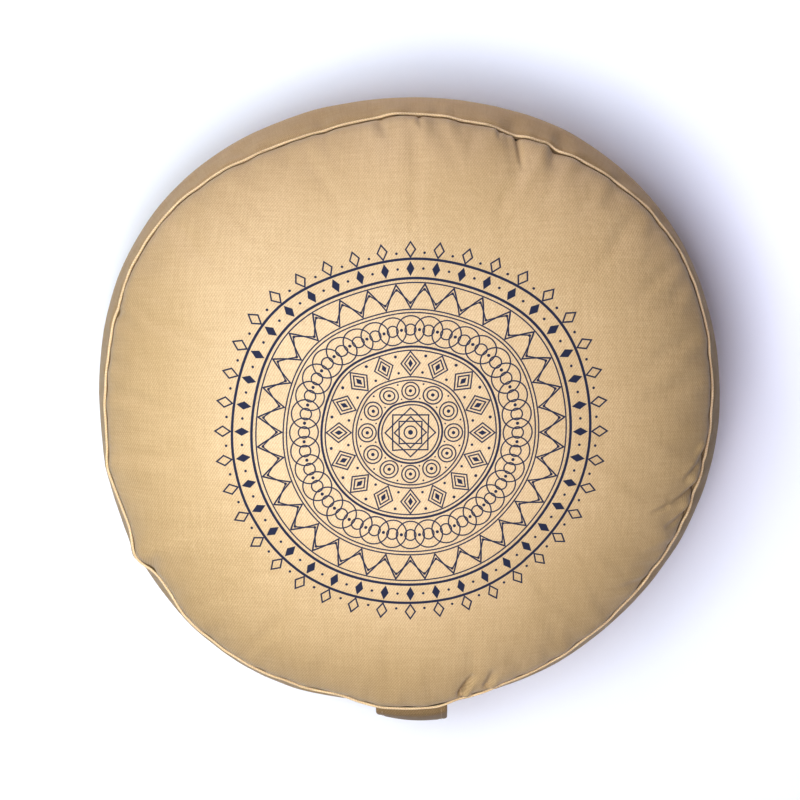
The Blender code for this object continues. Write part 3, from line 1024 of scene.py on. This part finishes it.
strap_round = place_along(np.concatenate([strap_rings[0], strap_rings[0][:1]]))
strap_flat = [np.stack([strap_round, np.full_like(strap_round, -down)], -1) for down in strap_down]
handle = cloth_piece(
    "strap_handle", list(strap_rings), strap_flat, strips=1, capped=(0, STRAP_ROWS - 1)
)
taupe_twill = cotton_twill("taupe cotton twill", STRAP_TAUPE, STRAP_SHADE, STRAP_FLECK)
handle.data.materials.append(taupe_twill)
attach(handle, "root")
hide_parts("handle")

# The topstitching: short lengths of thread that lie in the groove along each edge of the strap
stitches = []
stitch_count = int(strap_down[-1] / STITCH_PITCH)
thread_places = np.interp(
    (np.arange(stitch_count)[:, None] + np.linspace(*STITCH_SHOWS, STITCH_RINGS)) / stitch_count,
    strap_down / strap_down[-1],
    along,
)
for line_side in (-stitch_line, stitch_line):
    thread_middle = strap_middle(np.array(line_side), thread_places)
    beside_line = strap_middle(np.array(line_side + BESIDE_STITCH), thread_places)
    thread_run = np.gradient(thread_middle, axis=1)
    thread_side = beside_line - thread_middle
    thread_up = np.cross(thread_run, thread_side)
    thread_up = thread_up / np.linalg.norm(thread_up, axis=-1, keepdims=True)
    thread_side = thread_side / np.linalg.norm(thread_side, axis=-1, keepdims=True)
    arch = np.sin(np.linspace(0.0, math.pi, STITCH_RINGS))[:, None]
    lie = 0.5 * STRAP_THICKNESS - STITCH_GROOVE + THREAD_RADIUS * (STITCH_ARCH * arch - 1.0)
    thread_middle = thread_middle + thread_up * lie
    for stitch in range(stitch_count):
        turns = math.tau * np.arange(THREAD_SIDES)[None, :, None] / THREAD_SIDES
        up = thread_up[stitch][:, None]
        side = thread_side[stitch][:, None]
        thick = THREAD_RADIUS * (STITCH_END + (1.0 - STITCH_END) * arch[:, None] ** 0.5)
        rings = thread_middle[stitch][:, None] + thick * (np.cos(turns) * up + np.sin(turns) * side)
        stitches.append(rings)
stitching = joined_threads("handle_stitching", stitches)
thread = cotton_thread("cream cotton thread", THREAD_CREAM)
stitching.data.materials.append(thread)
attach(stitching, "root")


# --- Floor, light and camera ---------------------------------------------------------------------
# A white floor and six soft lights: four boxes above the cushion, and two larger ones far off, at
# the upper left and low at the top of the picture. They leave a wide, pale lavender shadow on the
# right. The camera looks down on the top panel, a little from its back.

FLOOR_DROP = 0.4 * MM  # below the cushion's flat foot
FLOOR_HALF = 4.0
FLOOR_WHITE = "#F4F4F4"
LIGHTS = (  # place and size in metres, watts of red, green and blue
    ((-0.15, -0.15, 0.70), 0.45, (1.84, 1.94, 1.48)),
    ((-0.25, 0.10, 0.70), 0.45, (0.77, 1.02, 0.83)),
    ((0.00, -0.30, 0.90), 0.45, (4.29, 4.10, 5.07)),
    ((-0.10, 0.05, 0.80), 0.45, (2.90, 3.26, 4.47)),
    ((-1.27, 1.27, 1.26), 1.10, (13.8, 13.5, 16.1)),
    ((0.00, 2.07, 0.75), 1.10, (14.7, 13.0, 14.6)),
)
LIGHT_AIM = (0.0, 0.0, 0.12)
CONTRAST = 1.25  # the photograph's tones are steeper than the light on the scene
CAMERA_AIM = (-3.6 * MM, 4.7 * MM, 104 * MM)
CAMERA_DISTANCE = 1.3
CAMERA_TILT = math.radians(5.8)
SENSOR_WIDTH = 36.0
FOCAL_PIXELS = 2368  # the focal length, over a picture 800 pixels wide
FOCAL_LENGTH = SENSOR_WIDTH * FOCAL_PIXELS / 800


def soft_box(place, size, watts):
    """A square area light that faces the cushion, and that the camera doesn't see."""
    lamp = bpy.data.lights.new("soft_box", "AREA")
    lamp.size = size
    lamp.energy = max(watts)
    lamp.color = [part / max(watts) for part in watts]
    light = bpy.data.objects.new("soft_box", lamp)
    bpy.context.scene.collection.objects.link(light)
    light.location = place
    towards = Vector(LIGHT_AIM) - Vector(place)
    light.rotation_euler = towards.to_track_quat("-Z", "Y").to_euler()
    light.visible_camera = False


corners = [(-1, -1), (1, -1), (1, 1), (-1, 1)]
places = [(FLOOR_HALF * east, FLOOR_HALF * north, -FLOOR_DROP) for east, north in corners]
floor_mesh = bpy.data.meshes.new("floor")
floor_mesh.from_pydata(places, [], [(0, 1, 2, 3)])
floor = bpy.data.objects.new("floor", floor_mesh)
bpy.context.scene.collection.objects.link(floor)
floor_paint = bpy.data.materials.new("matt white paint")
floor_paint.use_nodes = True
floor_shader = floor_paint.node_tree.nodes["Principled BSDF"]
floor_shader.inputs["Base Color"].default_value = linear(FLOOR_WHITE)
floor_shader.inputs["Roughness"].default_value = 0.9
floor_shader.inputs["Specular IOR Level"].default_value = 0.1
floor_mesh.materials.append(floor_paint)

scene = bpy.context.scene
scene.view_settings.view_transform = "Standard"
scene.view_settings.use_curve_mapping = True
contrast = scene.view_settings.curve_mapping
for share in np.linspace(0.1, 0.9, 9):
    contrast.curves[3].points.new(share, share**CONTRAST)
contrast.update()
world = bpy.data.worlds.new("sky")
scene.world = world
world.use_nodes = True
world.node_tree.nodes["Background"].inputs["Strength"].default_value = 0.0
for place, size, watts in LIGHTS:
    soft_box(place, size, watts)

camera = bpy.data.objects.new("camera", bpy.data.cameras.new("camera"))
scene.collection.objects.link(camera)
scene.camera = camera
camera.data.sensor_width = SENSOR_WIDTH
camera.data.lens = FOCAL_LENGTH
camera.rotation_euler = (-CAMERA_TILT, 0.0, 0.0)
camera.location = (
    CAMERA_AIM[0],
    CAMERA_AIM[1] + CAMERA_DISTANCE * math.sin(CAMERA_TILT),
    CAMERA_AIM[2] + CAMERA_DISTANCE * math.cos(CAMERA_TILT),
)
